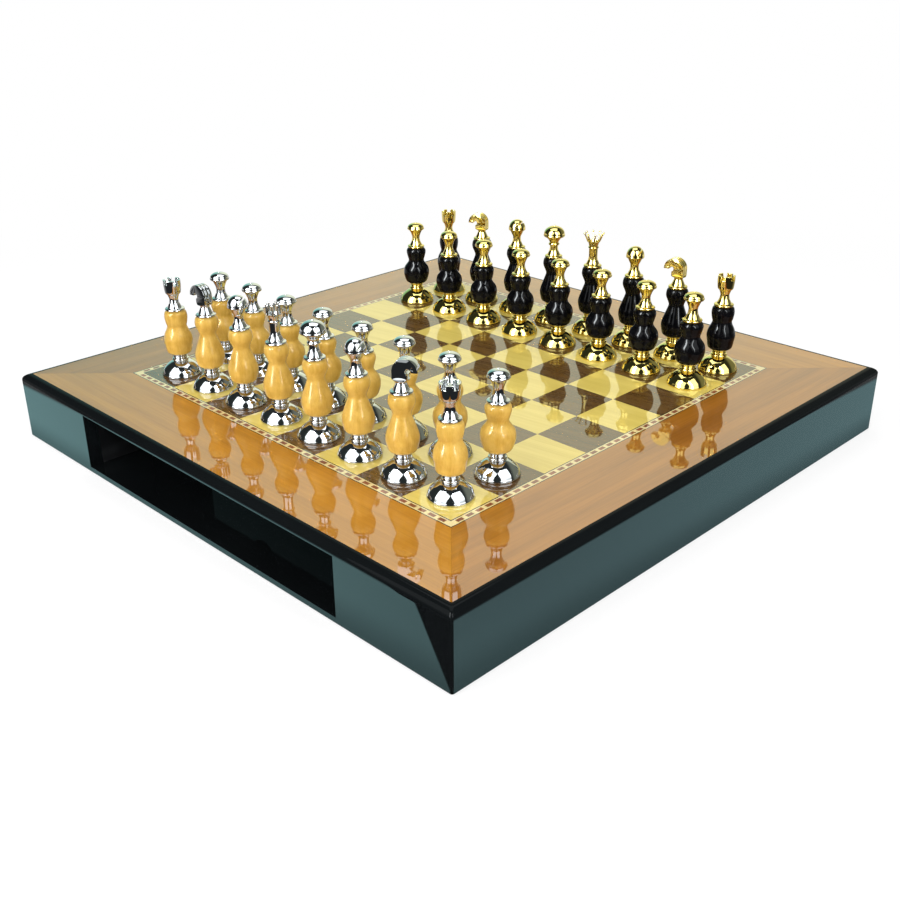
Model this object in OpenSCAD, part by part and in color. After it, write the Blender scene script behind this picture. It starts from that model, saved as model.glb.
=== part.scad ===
// Square chess box with a drawer in each of two opposite sides, and the two sets of turned
// chessmen that stand on it. Millimetres, +Z up, origin under the middle of the case.

/* [Case] */
// Outer width and depth of the square case
case_w = 450; // [440:1:520]
// Height of the case over the table
case_h = 50; // [48:0.5:70]
// Thickness of the four side walls
wall_t = 10; // [8:0.5:14]
// Thickness of the top board
top_t = 6; // [5.5:0.5:9]
// Radius of the round-over along the top board's edge
top_edge_r = 4.5; // [1:0.5:5]
// Radius of the case's upright corners
corner_r = 1.5; // [0.5:0.25:4]
// Thickness of the base panel, which is also the lip under each drawer bay
base_t = 3.6; // [3:0.2:6]
// Thickness of the felt under the base
felt_t = 0.8; // [0.5:0.1:2]
// Distance from the case's face in to the felt's edge
felt_inset = 3; // [1:0.5:10]

/* [Marquetry] */
// Side of one square of the board
square_w = 40; // [36:0.5:41]
// Thickness of the veneers
veneer_t = 0.8; // [0.5:0.1:1.2]
// Width of the black edge round the veneers
lacquer_margin = 6.6; // [5:0.2:10]
// Width of the dark string on each side of the mosaic
string_w = 0.7; // [0.4:0.1:1.5]
// Width of the mosaic band between its two strings
band_w = 4.7; // [4:0.1:8]
// Length of one tile of the mosaic
tile_l = 5.2; // [3:0.1:6]
// Width of one tile of the mosaic
tile_w = 2.8; // [1.5:0.1:3.6]
// Hairline along a mitre of the border
mitre_gap = 0.04; // [0.02:0.02:0.2]
// Tiles along one square
tiles_per_square = 5; // [3:1:5]

/* [Drawer bays] */
// Width of a drawer bay
bay_w = 269; // [240:1:300]
// Thickness of the wall on each side of the bays
bay_wall_t = 8; // [5:0.5:12]
// Thickness of the stop between the two bays
stop_t = 8; // [5:0.5:12]

/* [Drawers] */
// Running gap on each side of a drawer and over its front
drawer_gap = 1; // [0.5:0.1:2]
// Running gap under a drawer
drawer_lift = 0.3; // [0.2:0.05:0.6]
// Gap between a drawer that is pushed right in and the stop
stop_gap = 0.3; // [0.2:0.05:1]
// Thickness of a drawer's front
front_t = 9; // [8:0.5:14]
// Thickness of a drawer's sides and back
side_t = 6; // [5:0.5:9]
// Height of a drawer's sides and back
tray_h = 30; // [24:0.5:34]
// Thickness of a drawer's floor
floor_t = 3; // [2:0.5:4]
// Height of a drawer's floor over the lower edge of its sides
floor_rise = 2; // [1:0.5:4]
// Depth of the grooves that hold the floor
groove_d = 3; // [2:0.5:4]
// Clearance between the floor's edges and the ends of its grooves
floor_gap = 0.2; // [0.1:0.05:0.5]
// Length of the compartment for pawns
pawn_row = 70; // [69:0.5:74]
// Length of the compartment for the taller men
officer_row = 84; // [83:0.5:88]
// Thickness of the divider between the compartments
divider_t = 4; // [3:0.5:8]
// Height of the divider over the floor
divider_h = 16; // [8:0.5:20]
// Thickness of the felt in the compartments
lining_t = 1; // [0.5:0.1:2]
// Radius of the finger notch in the top edge of a drawer's front
notch_r = 13; // [8:0.5:16]

/* [Chessmen: metal base] */
// Radius of the foot
foot_r = 14.3; // [11:0.1:17]
// Height of the foot's rim
foot_h = 1.5; // [1:0.1:2.5]
// Height of the bell over the table of the board
bell_h = 10.2; // [7:0.1:11]
// Radius of the neck over the bell
base_neck_r = 4.9; // [4:0.1:6]
// Height of the whole base, up to the wood
base_h = 16.1; // [13.5:0.1:18]
// Radius of the seat that carries the wood, and of the wood there
seat_r = 6.4; // [5.5:0.1:7.5]

/* [Chessmen: turned body] */
// Radius of the shoulder
shoulder_r = 8.2; // [7:0.1:9.5]
// Radius of the body's top, which carries the collar
crown_r = 6.5; // [5.5:0.1:7]
// Height of a pawn's body
pawn_body_h = 30.6; // [28:0.1:36]
// Height of a rook's body
rook_body_h = 32.2; // [29:0.1:37]
// Height of the other men's bodies
tall_body_h = 37; // [33:0.1:42]
// Largest radius of a pawn's belly
pawn_belly_r = 10.9; // [9:0.1:12.5]
// Largest radius of a rook's belly
rook_belly_r = 10.3; // [9:0.1:12.5]
// Largest radius of a tall body's belly
tall_belly_r = 10.4; // [9:0.1:12.5]
// Height of a pawn's belly over the seat
pawn_belly_z = 9.4; // [7.5:0.1:11]
// Height of a rook's belly over the seat
rook_belly_z = 10.3; // [7.5:0.1:12]
// Height of a tall body's belly over the seat
tall_belly_z = 8.4; // [7.5:0.1:12]
// Radius of a pawn's waist
pawn_waist_r = 6.6; // [5:0.1:7.5]
// Radius of a rook's waist
rook_waist_r = 7; // [5:0.1:7.5]
// Radius of a tall body's waist
tall_waist_r = 5.7; // [5:0.1:7.5]
// Depth of the waist under the top of a pawn's body
pawn_waist_drop = 10.3; // [8:0.1:12]
// Depth of the waist under the top of a rook's body
rook_waist_drop = 11.1; // [8:0.1:13]
// Depth of the waist under the top of a tall body
tall_waist_drop = 12.7; // [10:0.1:15]
// Depth of the shoulder under the top of a pawn's body
pawn_shoulder_drop = 3.8; // [2.5:0.1:5]
// Depth of the shoulder under the top of a rook's body
rook_shoulder_drop = 4.8; // [2.5:0.1:5.5]
// Depth of the shoulder under the top of a tall body
tall_shoulder_drop = 5.6; // [3:0.1:7]

/* [Chessmen: metal head] */
// Largest radius of the collar
collar_r = 7.1; // [6.6:0.1:8]
// Height of the collar's widest edge over the wood
collar_h = 1.2; // [1:0.1:2]
// Radius of the collar's rounded edge
collar_edge_r = 0.8; // [0.5:0.1:0.9]
// Radius of the neck over the bell
neck_r = 3.2; // [2.8:0.1:4]
// Height of the neck's narrowest place over the wood
neck_z = 8.6; // [7:0.1:10]
// Radius of the spigots that join metal and wood
spigot_r = 2.4; // [1.5:0.1:2.8]
// Length of the spigots
spigot_l = 4; // [2:0.5:6]
// Clearance round and beyond a spigot
spigot_gap = 0.1; // [0.05:0.05:0.3]
// Hairline between a man's wood and metal
seat_gap = 0.04; // [0.02:0.02:0.2]

/* [Pawn] */
// Radius of the cap
pawn_cap_r = 7.2; // [6:0.1:9]
// Height of the cap's rim over the wood
pawn_rim_z = 16.6; // [15:0.1:18]
// Radius of the rim's rounded edge
pawn_edge_r = 0.9; // [0.5:0.1:1]
// Height of the cap's dome over the wood
pawn_dome_z = 21.2; // [20:0.1:24]
// Radius of the pip on the cap
pawn_pip_r = 0.5; // [0.3:0.1:0.8]

/* [Rook] */
// Radius of the turret's top
rook_top_r = 6.2; // [5.8:0.1:7.6]
// Height of the whole head
rook_head_h = 22.9; // [22:0.1:27]
// Height of the turret alone
turret_h = 10.8; // [9:0.1:12]
// Thickness of the turret's wall
turret_wall = 1.7; // [1:0.1:2.4]
// Depth of the turret's hollow
turret_hollow = 4.2; // [3.5:0.1:6]
// Number of battlements
merlons = 5; // [4:1:8]
// Width of a gap between battlements
crenel_w = 2.9; // [1.5:0.1:3.2]
// Depth of a gap between battlements
crenel_h = 3; // [1.5:0.1:3.4]

/* [Knight] */
// Height of the stem under the head
knight_stem_h = 9.6; // [9.2:0.1:13]
// Radius of the mane's arc
mane_r = 7.8; // [6.8:0.1:8.4]
// Height of the arc's centre over the stem
mane_rise = 5; // [4:0.1:6]
// Thickness of the head
knight_t = 6.8; // [5:0.1:7.4]
// Length of the throat, where the head sits on its stem
throat_l = 9.4; // [8:0.1:10]
// Radius of the notch between throat and muzzle
notch_arc_r = 1.9; // [1.5:0.1:2.4]
// Width of a groove in the mane
mane_groove_w = 0.9; // [0.4:0.1:1.2]
// Depth of a groove in the mane
mane_groove_d = 0.7; // [0.3:0.1:1.2]

/* [Bishop] */
// Radius of the mitre
mitre_r = 7; // [6:0.1:8]
// Height of the mitre's rim over the wood
mitre_z = 16.3; // [15.6:0.1:20]
// Radius of the rim's rounded edge
mitre_edge_r = 0.9; // [0.5:0.1:1]
// Height of the whole head
bishop_head_h = 24.1; // [23:0.1:28]
// Width of the slot in the mitre
slot_w = 1.3; // [0.8:0.1:2]
// Depth of the slot
slot_d = 5; // [3:0.1:6]
// Angle of the slot from level
slot_tilt = 48; // [35:1:60]

/* [Queen] */
// Radius of the ring under the cup
queen_ring_r = 4.2; // [3.9:0.1:5]
// Height of the ring over the wood
queen_ring_z = 15.9; // [15:0.1:19]
// Radius of the cup's mouth
queen_cup_r = 4.9; // [4.5:0.1:5.8]
// Height of the cup
queen_cup_h = 3.4; // [2.5:0.1:4]
// Number of prongs
prongs = 8; // [5:1:9]
// Radius of the circle through the gold prongs' tips
prong_spread_r = 7.4; // [6:0.1:9]
// Radius of the same circle on the silver queen, whose prongs stand up straighter
silver_spread_r = 4.6; // [4:0.1:9]
// Height of the tips over the wood
prong_tip_z = 26.8; // [25:0.1:30]
// Radius of a prong at its root
prong_root_r = 0.7; // [0.5:0.05:1]
// Radius of a prong at its tip
prong_tip_r = 0.42; // [0.3:0.02:0.6]
// Radius of the ball on each tip
prong_ball_r = 0.85; // [0.65:0.05:1.2]

/* [King] */
// Radius of the dome's rim
dome_r = 8.7; // [7:0.1:9.5]
// Height of the rim over the wood
dome_rim_z = 18.4; // [17.6:0.1:22]
// Radius of the rim's rounded edge
dome_edge_r = 1.2; // [0.6:0.1:1.4]
// Height of the dome's top over the wood
dome_top_z = 25.7; // [24.5:0.1:29]
// Radius of the pip on the dome
king_pip_r = 0.9; // [0.5:0.1:1.2]
// Radius of the bead under the dome
king_bead_r = 4.4; // [4.1:0.1:5.4]
// Height of the bead over the wood
king_bead_z = 11.2; // [10.5:0.1:13]

/* [Hidden] */
$fn = 64;
half = case_w / 2;
wall_z0 = felt_t;
wall_z1 = case_h - top_t;
bay_z0 = felt_t + base_t;
field_half = 4 * square_w;
band_in = field_half + string_w;
band_out = band_in + band_w;
veneer_in = band_out + string_w;
veneer_out = half - lacquer_margin;
inlay_z = case_h - veneer_t;
tile_pitch = square_w / tiles_per_square;

drawer_w = bay_w - 2 * drawer_gap;
drawer_l = front_t + pawn_row + divider_t + officer_row + side_t;
drawer_z = bay_z0 + drawer_lift;
front_h = wall_z1 - drawer_gap - drawer_z;
tray_w = drawer_w - 2 * side_t;
floor_z = drawer_z + floor_rise;
tray_z = floor_z + floor_t;
divider_y = front_t + pawn_row;

// Height, belly's radius and height, waist's radius and the depths of waist and shoulder of each body
PAWN_BODY = [pawn_body_h, pawn_belly_r, pawn_belly_z, pawn_waist_r, pawn_waist_drop, pawn_shoulder_drop];
ROOK_BODY = [rook_body_h, rook_belly_r, rook_belly_z, rook_waist_r, rook_waist_drop, rook_shoulder_drop];
TALL_BODY = [tall_body_h, tall_belly_r, tall_belly_z, tall_waist_r, tall_waist_drop, tall_shoulder_drop];

FILES = ["a", "b", "c", "d", "e", "f", "g", "h"];
// Colours of metal and wood
SILVER = ["gainsboro", "goldenrod"];
GOLD = ["gold", "black"];
// Kinds along the back ranks, and the direction in which each man faces, in degrees from +X
SILVER_BACK = ["rook", "knight", "bishop", "queen", "king", "bishop", "knight", "rook"];
GOLD_BACK = ["rook", "knight", "bishop", "king", "queen", "bishop", "knight", "rook"];
SILVER_TURN = [0, 185, 45, 45, 45, 45, 30, 0];
GOLD_TURN = [0, 200, 15, 45, 45, 40, 190, 0];
// Each man's name, kind, file and rank from 0, direction and colours
function man(set, kind, i, rank, turn, colours) =
    [str(set, "_", kind, "_", FILES[i]), kind, i, rank, turn, colours];
MEN = concat(
    [for (i = [0:7]) man("silver", SILVER_BACK[i], i, 0, SILVER_TURN[i], SILVER)],
    [for (i = [0:7]) man("silver", "pawn", i, 1, 0, SILVER)],
    [for (i = [0:7]) man("gold", "pawn", i, 6, 0, GOLD)],
    [for (i = [0:7]) man("gold", GOLD_BACK[i], i, 7, GOLD_TURN[i], GOLD)]
);

// ---- Curves ----

// n + 1 points of an arc round [x, y], from angle a0 to a1
function arc(x, y, r, a0, a1, n = 6) =
    [for (i = [0:n]) let (a = a0 + (a1 - a0) * i / n) [x + r * cos(a), y + r * sin(a)]];

// One point of the curve between b and c, where a and d are its neighbours
function spline_point(a, b, c, d, t) =
    0.5 * (2 * b + (c - a) * t + (2 * a - 5 * b + 4 * c - d) * t * t
        + (3 * b - a - 3 * c + d) * t * t * t);

// A smooth curve through the knots k, with n steps from one knot to the next
function through(k, n = 5) = let (last = len(k) - 1) concat(
    [for (i = [0:last - 1], s = [0:n - 1])
        spline_point(k[max(i - 1, 0)], k[i], k[i + 1], k[min(i + 2, last)], s / n)],
    [k[last]]
);

// Quarter of an ellipse from [r, z0] at the rim up to [0, z1] on the axis
function dome_curve(r, z0, z1, n = 9) =
    [for (i = [0:n]) let (a = 90 * i / n) [i == n ? 0 : r * cos(a), z0 + (z1 - z0) * sin(a)]];

// The same quarter of an ellipse, with a small round pip on the axis
function pipped_dome(r, z0, z1, pip_r) = concat(
    [for (p = dome_curve(r, z0, z1, 10)) if (p.x > pip_r) p],
    arc(0, z1 - 0.1 * pip_r, pip_r, 0, 90, 4)
);

// ---- Case ----

module rounded_square(w, r) {
    square([w, w - 2 * r], center = true);
    square([w - 2 * r, w], center = true);
    for (x = [-1, 1], y = [-1, 1]) translate([x, y] * (w / 2 - r)) circle(r);
}

// Everything inside the case's outline, from z0 up to z1
module case_prism(z0, z1) {
    translate([0, 0, z0]) linear_extrude(z1 - z0) rounded_square(case_w, corner_r);
}

// Section of the top board, with its upper edges rounded over
module board_section() {
    translate([-half, wall_z1]) square([case_w, top_t - top_edge_r]);
    translate([-half + top_edge_r, wall_z1]) square([case_w - 2 * top_edge_r, top_t]);
    for (x = [-1, 1]) translate([x * (half - top_edge_r), case_h - top_edge_r]) circle(top_edge_r);
}

module top_board() {
    color("black") difference() {
        intersection() {
            rotate([90, 0, 0]) linear_extrude(case_w + 2, center = true) board_section();
            rotate([90, 0, 90]) linear_extrude(case_w + 2, center = true) board_section();
            case_prism(wall_z1, case_h + 1);
        }
        translate([-veneer_out, -veneer_out, inlay_z]) cube([2 * veneer_out, 2 * veneer_out, top_t]);
    }
}

// Plan of the side at -Y of a square frame, mitred at both ends and short of the mitres by gap / 2
module mitred_side(inner, outer, gap = 0) {
    s = gap / sqrt(2);
    polygon([[s - outer, -outer], [outer - s, -outer], [inner - s, -inner], [s - inner, -inner]]);
}

module case_wall(turn) {
    intersection() {
        rotate(turn) translate([0, 0, wall_z0]) linear_extrude(wall_z1 - wall_z0)
            mitred_side(half - wall_t, half);
        case_prism(wall_z0 - 1, wall_z1 + 1);
    }
}

module bay_cut(turn) {
    rotate(turn) translate([-bay_w / 2, -half - 1, bay_z0]) cube([bay_w, wall_t + 2, case_h]);
}

module case_left() { color("black") case_wall(-90); }

module case_right() { color("black") case_wall(90); }

module case_front() {
    color("black") difference() {
        case_wall(0);
        bay_cut(0);
    }
}

module case_back() {
    color("black") difference() {
        case_wall(180);
        bay_cut(180);
    }
}

module base_panel() {
    inner = case_w - 2 * wall_t;
    color("black") translate([-inner / 2, -inner / 2, felt_t]) cube([inner, inner, base_t]);
}

module bay_walls() {
    length = case_w - 2 * wall_t;
    color("black") for (x = [-1, 1])
        translate([x * (bay_w + bay_wall_t) / 2 - bay_wall_t / 2, -length / 2, bay_z0])
            cube([bay_wall_t, length, wall_z1 - bay_z0]);
}

module centre_stop() {
    color("black") translate([-bay_w / 2, -stop_t / 2, bay_z0]) cube([bay_w, stop_t, wall_z1 - bay_z0]);
}

module base_felt() {
    w = case_w - 2 * felt_inset;
    color("darkgreen") translate([-w / 2, -w / 2, 0]) cube([w, w, felt_t]);
}

// ---- Marquetry ----

module border_veneers() {
    color("sandybrown") translate([0, 0, inlay_z]) linear_extrude(veneer_t)
        for (turn = [0:90:270]) rotate(turn) mitred_side(veneer_in, veneer_out, mitre_gap);
}

module square_ring(inner, width) {
    difference() {
        square(2 * (inner + width), center = true);
        square(2 * inner, center = true);
    }
}

module string_lines() {
    color("black") translate([0, 0, inlay_z]) linear_extrude(veneer_t)
        for (inner = [field_half, band_out]) square_ring(inner, string_w);
}

module tile_plan() {
    middle = band_in + band_w / 2;
    for (turn = [0:90:270], i = [0:8 * tiles_per_square - 1])
        rotate(turn) translate([(i + 0.5) * tile_pitch - field_half, -middle])
            square([tile_l, tile_w], center = true);
}

module mosaic_band() {
    color("cornsilk") translate([0, 0, inlay_z]) linear_extrude(veneer_t) difference() {
        square_ring(band_in, band_w);
        tile_plan();
    }
}

module mosaic_tiles() {
    color("brown") translate([0, 0, inlay_z]) linear_extrude(veneer_t) tile_plan();
}

// Squares of one colour: the corner square at -X, -Y is dark
module squares(odd) {
    for (i = [0:7], j = [0:7]) if ((i + j) % 2 == odd)
        translate([i * square_w - field_half, j * square_w - field_half, inlay_z])
            cube([square_w, square_w, veneer_t]);
}

module light_squares() { color("khaki") squares(1); }

module dark_squares() { color("saddlebrown") squares(0); }

// ---- Drawers ----

// A drawer is drawn with its front's face at y = 0 and its inside towards +Y
module place_drawer(d) {
    if (d == "front") translate([0, -stop_t / 2 - stop_gap - drawer_l, 0]) children();
    else translate([0, half, 0]) rotate(180) children();
}

module floor_block(gap) {
    w = tray_w + 2 * (groove_d - gap);
    y0 = front_t - groove_d + gap;
    translate([-w / 2, y0, floor_z]) cube([w, drawer_l - y0, floor_t]);
}

module drawer_front() {
    color("black") difference() {
        translate([-drawer_w / 2, 0, drawer_z]) cube([drawer_w, front_t, front_h]);
        translate([0, front_t / 2, drawer_z + front_h]) rotate([90, 0, 0])
            cylinder(h = front_t + 2, r = notch_r, center = true);
        floor_block(0);
    }
}

module drawer_sides() {
    color("dimgray") difference() {
        for (x = [-1, 1])
            translate([x * (drawer_w - side_t) / 2 - side_t / 2, front_t, drawer_z])
                cube([side_t, drawer_l - front_t, tray_h]);
        floor_block(0);
    }
}

module drawer_rear() {
    color("dimgray") translate([-tray_w / 2, drawer_l - side_t, tray_z])
        cube([tray_w, side_t, drawer_z + tray_h - tray_z]);
}

module drawer_floor() { color("gray") floor_block(floor_gap); }

module drawer_divider() {
    color("dimgray") translate([-tray_w / 2, divider_y, tray_z]) cube([tray_w, divider_t, divider_h]);
}

module drawer_lining() {
    color("maroon") translate([-tray_w / 2, 0, tray_z]) {
        translate([0, front_t, 0]) cube([tray_w, pawn_row, lining_t]);
        translate([0, divider_y + divider_t, 0]) cube([tray_w, officer_row, lining_t]);
    }
}

// ---- Chessmen ----

module turned(points) { rotate_extrude() polygon(points); }

// Metal foot: a rimmed bell, a beaded neck and the seat for the wood
module man_base() {
    neck_l = base_h - bell_h;
    bead_z = bell_h + 0.24 * neck_l;
    turned(concat(
        [[0, 0]],
        arc(foot_r - 0.5, 0.5, 0.5, -90, 0, 3),
        [[foot_r, foot_h]],
        through([[foot_r - 0.3, foot_h + 0.4], [foot_r - 1.6, 0.46 * bell_h], [foot_r - 4.3, 0.74 * bell_h],
                 [base_neck_r + 2.2, 0.93 * bell_h], [base_neck_r + 0.6, bell_h]]),
        arc(base_neck_r - 0.5, bead_z, 0.15 * neck_l, -70, 70),
        through([[base_neck_r - 0.3, bead_z + 0.19 * neck_l], [base_neck_r + 0.2, bead_z + 0.37 * neck_l],
                 [seat_r - 0.2, base_h - 0.1 * neck_l]], 4),
        [[seat_r, base_h - 0.05 * neck_l], [seat_r, base_h], [spigot_r, base_h],
         [spigot_r, base_h + spigot_l], [0, base_h + spigot_l]]
    ));
}

// Turned wood: a belly, a waist and a shoulder, bored at both ends. b is one of the bodies
module man_body(b) {
    h = b[0];
    belly_r = b[1];
    belly_z = b[2];
    waist_r = b[3];
    waist_z = h - b[4];
    bore_r = spigot_r + spigot_gap;
    bore_l = spigot_l + spigot_gap;
    difference() {
        turned(concat(
            [[0, 0]],
            through([[seat_r + 0.2, 0], [seat_r + 2.4, 1.5], [belly_r - 0.6, belly_z - 4], [belly_r, belly_z],
                     [belly_r - 0.8, belly_z + 4.4], [waist_r + 0.6, waist_z - 2.4], [waist_r, waist_z],
                     [waist_r + 0.6, waist_z + 2.2], [shoulder_r, h - b[5]], [shoulder_r - 0.4, h - 1.4],
                     [crown_r, h]]),
            [[0, h]]
        ));
        translate([0, 0, -1]) cylinder(h = bore_l + 1, r = bore_r);
        translate([0, 0, h - bore_l]) cylinder(h = bore_l + 1, r = bore_r);
    }
}

// Collar and bell, from the spigot up to the neck's narrowest place
function stem(r = neck_r, z = neck_z) = concat(
    [[0, -spigot_l], [spigot_r, -spigot_l], [spigot_r, 0], [crown_r, 0]],
    arc(collar_r - collar_edge_r, collar_h, collar_edge_r, -60, 80, 5),
    through([[collar_r - 1.9, collar_h + 1.2], [r + 1.5, collar_h + 2.4],
             [r + 0.5, collar_h + 4.6], [r, z]], 4)
);

module pawn_head() {
    turned(concat(
        stem(),
        through([[neck_r + 0.2, neck_z + 1.8], [neck_r + 1.3, pawn_rim_z - 3.4],
                 [pawn_cap_r - 1.6, pawn_rim_z - 1.3]]),
        arc(pawn_cap_r - pawn_edge_r, pawn_rim_z, pawn_edge_r, -50, 50),
        pipped_dome(pawn_cap_r - 0.4 * pawn_edge_r, pawn_rim_z + 0.9 * pawn_edge_r, pawn_dome_z,
                    pawn_pip_r)
    ));
}

module rook_head() {
    turret_z = rook_head_h - turret_h;
    difference() {
        turned(concat(
            stem(),
            through([[neck_r + 0.2, turret_z - 2.4], [neck_r + 0.9, turret_z - 0.5]], 4),
            through([[rook_top_r - 2, turret_z], [rook_top_r - 0.9, turret_z + 1],
                     [rook_top_r - 0.4, turret_z + 2.6], [rook_top_r, rook_head_h - crenel_h - 0.8]]),
            [[rook_top_r, rook_head_h], [rook_top_r - turret_wall, rook_head_h],
             [rook_top_r - turret_wall - 0.3, rook_head_h - turret_hollow], [0, rook_head_h - turret_hollow]]
        ));
        for (i = [0:merlons - 1]) rotate(360 * (i + 0.5) / merlons - 45)
            translate([0, -crenel_w / 2, rook_head_h - crenel_h])
                cube([rook_top_r + 1, crenel_w, crenel_h + 1]);
    }
}

// Side view of the knight's head, with the back of its throat at x = 0 and its muzzle towards +X
module knight_outline() {
    difference() {
        union() {
            intersection() {
                translate([mane_r, mane_rise]) circle(mane_r);
                translate([0, mane_rise - 0.2]) square([2 * mane_r, 2 * mane_r]);
            }
            square([throat_l, mane_rise + 1]);
        }
        translate([throat_l + 0.4, mane_rise]) circle(notch_arc_r);
    }
}

module knight_head() {
    plate_r = throat_l / 2 + 0.7;
    turned(concat(
        stem(neck_r, neck_z - 1.4),
        through([[neck_r + 0.1, neck_z - 0.8], [neck_r + 0.5, knight_stem_h - 1.1],
                 [plate_r - 0.3, knight_stem_h - 0.6]], 4),
        [[plate_r, knight_stem_h - 0.4], [plate_r, knight_stem_h], [0, knight_stem_h]]
    ));
    translate([-throat_l / 2, 0, knight_stem_h]) rotate([90, 0, 0]) difference() {
        linear_extrude(knight_t, center = true) knight_outline();
        for (z = [-1, 1]) translate([0, 0, z * knight_t / 5])
            linear_extrude(mane_groove_w, center = true) difference() {
                translate([-1, 1.2]) square([mane_r + 2, 2 * mane_r]);
                translate([mane_r, mane_rise]) circle(mane_r - mane_groove_d);
                translate([mane_groove_d, -1]) square([2 * mane_r, mane_rise + 1]);
            }
    }
}

module bishop_head() {
    difference() {
        turned(concat(
            stem(),
            through([[neck_r + 0.2, neck_z + 2], [neck_r + 1.2, mitre_z - 3.8],
                     [mitre_r - 1.5, mitre_z - 1.3]]),
            arc(mitre_r - mitre_edge_r, mitre_z, mitre_edge_r, -50, 20),
            dome_curve(mitre_r - 0.1 * mitre_edge_r, mitre_z + 0.5 * mitre_edge_r, bishop_head_h)
        ));
        translate([mitre_r * cos(slot_tilt), 0, mitre_z + (bishop_head_h - mitre_z) * sin(slot_tilt)])
            rotate([0, -slot_tilt, 0]) translate([-slot_d, -mitre_r - 1, -slot_w / 2])
                cube([2 * slot_d, 2 * mitre_r + 2, slot_w]);
    }
}

module queen_head(spread_r) {
    cup_z = queen_ring_z + queen_cup_h;
    turned(concat(
        stem(neck_r + 0.2, neck_z),
        through([[neck_r + 0.2, queen_ring_z - 6], [neck_r + 0.3, queen_ring_z - 0.9]], 4),
        arc(queen_ring_r - 0.5, queen_ring_z, 0.5, -70, 70, 4),
        through([[neck_r + 0.3, queen_ring_z + 0.8], [queen_cup_r - 0.8, cup_z - 1.6],
                 [queen_cup_r, cup_z]], 4),
        [[queen_cup_r - 1.2, cup_z], [queen_cup_r - 2, cup_z - 1.6], [0, cup_z - 1.8]]
    ));
    root_r = queen_cup_r - 0.6;
    root_z = cup_z - 0.5;
    lean = atan2(spread_r - root_r, prong_tip_z - root_z);
    length = norm([spread_r - root_r, prong_tip_z - root_z]);
    for (i = [0:prongs - 1]) rotate(360 * i / prongs) translate([root_r, 0, root_z])
        rotate([0, lean, 0]) {
            cylinder(h = length, r1 = prong_root_r, r2 = prong_tip_r);
            translate([0, 0, length]) sphere(prong_ball_r);
        }
}

module king_head() {
    turned(concat(
        stem(),
        [[neck_r, king_bead_z - 1.2]],
        arc(king_bead_r - 0.9, king_bead_z, 0.9, -75, 75),
        through([[neck_r + 0.3, king_bead_z + 1.3], [neck_r + 1.5, dome_rim_z - 3.6],
                 [dome_r - 1.8, dome_rim_z - 1.4]]),
        arc(dome_r - dome_edge_r, dome_rim_z, dome_edge_r, -50, 40),
        pipped_dome(dome_r - 0.25 * dome_edge_r, dome_rim_z + 0.8 * dome_edge_r, dome_top_z, king_pip_r)
    ));
}

module head(kind, spread_r) {
    if (kind == "pawn") pawn_head();
    else if (kind == "rook") rook_head();
    else if (kind == "knight") knight_head();
    else if (kind == "bishop") bishop_head();
    else if (kind == "queen") queen_head(spread_r);
    else king_head();
}

// One man on its square: m is a line of MEN
module chessman(m) {
    b = m[1] == "pawn" ? PAWN_BODY : m[1] == "rook" ? ROOK_BODY : TALL_BODY;
    translate([(m[2] - 3.5) * square_w, (m[3] - 3.5) * square_w, case_h]) rotate(m[4]) {
        color(m[5][0]) man_base();
        color(m[5][1]) translate([0, 0, base_h + seat_gap]) man_body(b);
        color(m[5][0]) translate([0, 0, base_h + b[0] + 2 * seat_gap])
            head(m[1], m[5] == SILVER ? silver_spread_r : prong_spread_r);
    }
}

// ---- The parts ----

top_board();
border_veneers();
string_lines();
mosaic_band();
mosaic_tiles();
light_squares();
dark_squares();
case_left();
case_right();
case_front();
case_back();
base_panel();
bay_walls();
centre_stop();
base_felt();
for (d = ["front", "back"]) {
    place_drawer(d) drawer_front();
    place_drawer(d) drawer_sides();
    place_drawer(d) drawer_rear();
    place_drawer(d) drawer_floor();
    place_drawer(d) drawer_divider();
    place_drawer(d) drawer_lining();
}
for (m = MEN) chessman(m);
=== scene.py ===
# Square chess box with a drawer in each of two opposite sides, with both sets of turned
# chessmen standing on its marquetry board. Metres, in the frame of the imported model.
import math

import bpy
from mathutils import Euler, Matrix, Vector


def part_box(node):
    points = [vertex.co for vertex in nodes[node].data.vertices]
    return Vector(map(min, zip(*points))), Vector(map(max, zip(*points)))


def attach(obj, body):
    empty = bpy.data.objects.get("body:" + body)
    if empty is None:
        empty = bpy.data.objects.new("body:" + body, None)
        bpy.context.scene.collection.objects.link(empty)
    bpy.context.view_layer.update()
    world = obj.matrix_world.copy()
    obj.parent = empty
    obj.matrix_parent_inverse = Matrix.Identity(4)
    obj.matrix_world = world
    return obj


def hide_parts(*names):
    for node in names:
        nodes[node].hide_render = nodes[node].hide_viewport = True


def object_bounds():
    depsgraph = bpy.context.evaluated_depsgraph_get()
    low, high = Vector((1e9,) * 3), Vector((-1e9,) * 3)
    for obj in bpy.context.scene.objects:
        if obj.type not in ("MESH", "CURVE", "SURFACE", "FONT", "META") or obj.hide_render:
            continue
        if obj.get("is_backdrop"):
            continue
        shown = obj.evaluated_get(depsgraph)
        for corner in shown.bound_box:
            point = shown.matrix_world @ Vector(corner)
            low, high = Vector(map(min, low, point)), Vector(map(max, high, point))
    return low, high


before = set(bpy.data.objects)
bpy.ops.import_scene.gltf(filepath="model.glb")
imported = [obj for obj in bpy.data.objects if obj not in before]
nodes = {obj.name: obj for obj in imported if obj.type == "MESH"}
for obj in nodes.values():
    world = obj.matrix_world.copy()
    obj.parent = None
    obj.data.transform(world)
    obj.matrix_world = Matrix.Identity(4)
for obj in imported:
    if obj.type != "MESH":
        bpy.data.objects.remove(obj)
cad_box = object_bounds()
MM = 0.001


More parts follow.
